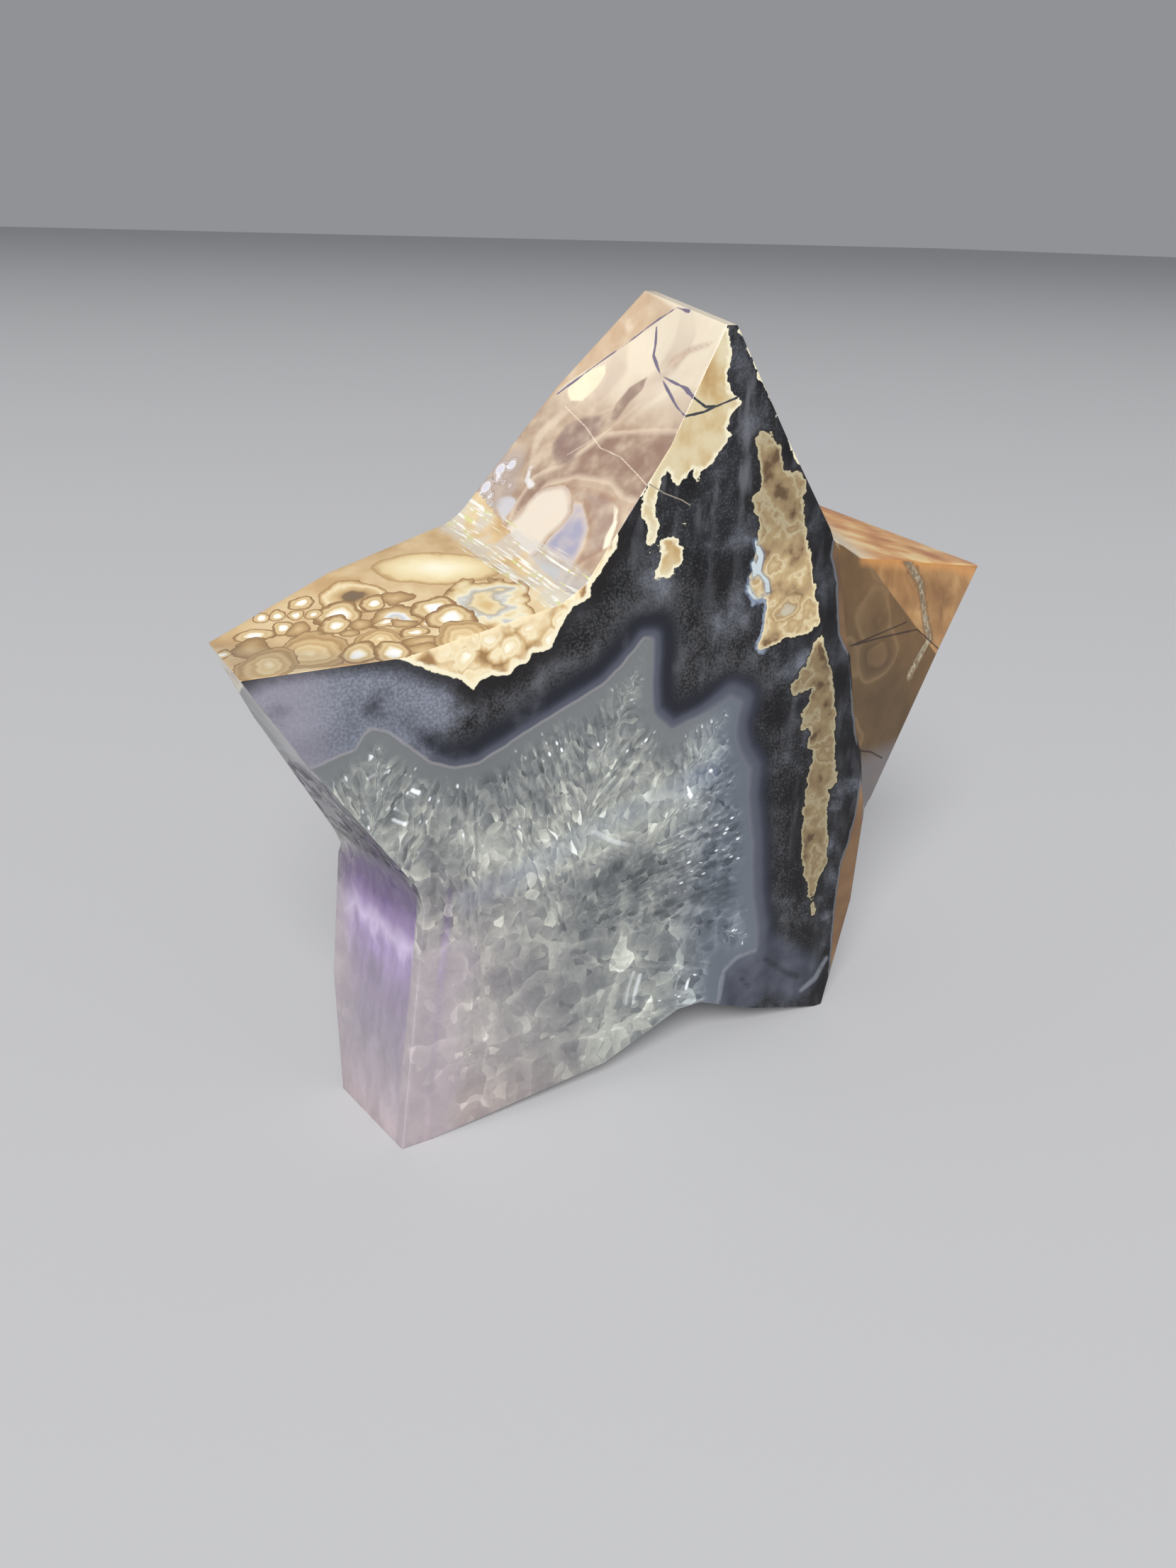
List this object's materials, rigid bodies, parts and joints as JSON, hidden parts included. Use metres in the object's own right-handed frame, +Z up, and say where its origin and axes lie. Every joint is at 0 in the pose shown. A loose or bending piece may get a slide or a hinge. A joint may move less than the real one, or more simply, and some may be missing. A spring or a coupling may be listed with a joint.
{
  "type": "agate star carving",
  "caption": "Thick polished stone star that stands upright on its two lower arms as a shelf ornament, with a flat front face and arms that thin towards their tips.",
  "frame": {"origin": "on the surface the star stands on, under the middle of the bounding box", "axes": "+Z up towards the top arm, -Y out of the flat front face, +X towards the arm that is ground back in front"},
  "size_m": [0.1256, 0.029, 0.1093],
  "materials": {
    "star": "polished natural agate with a quartz middle"
  },
  "bodies": {
    "root": {"star": "star"}
  },
  "joints": []
}
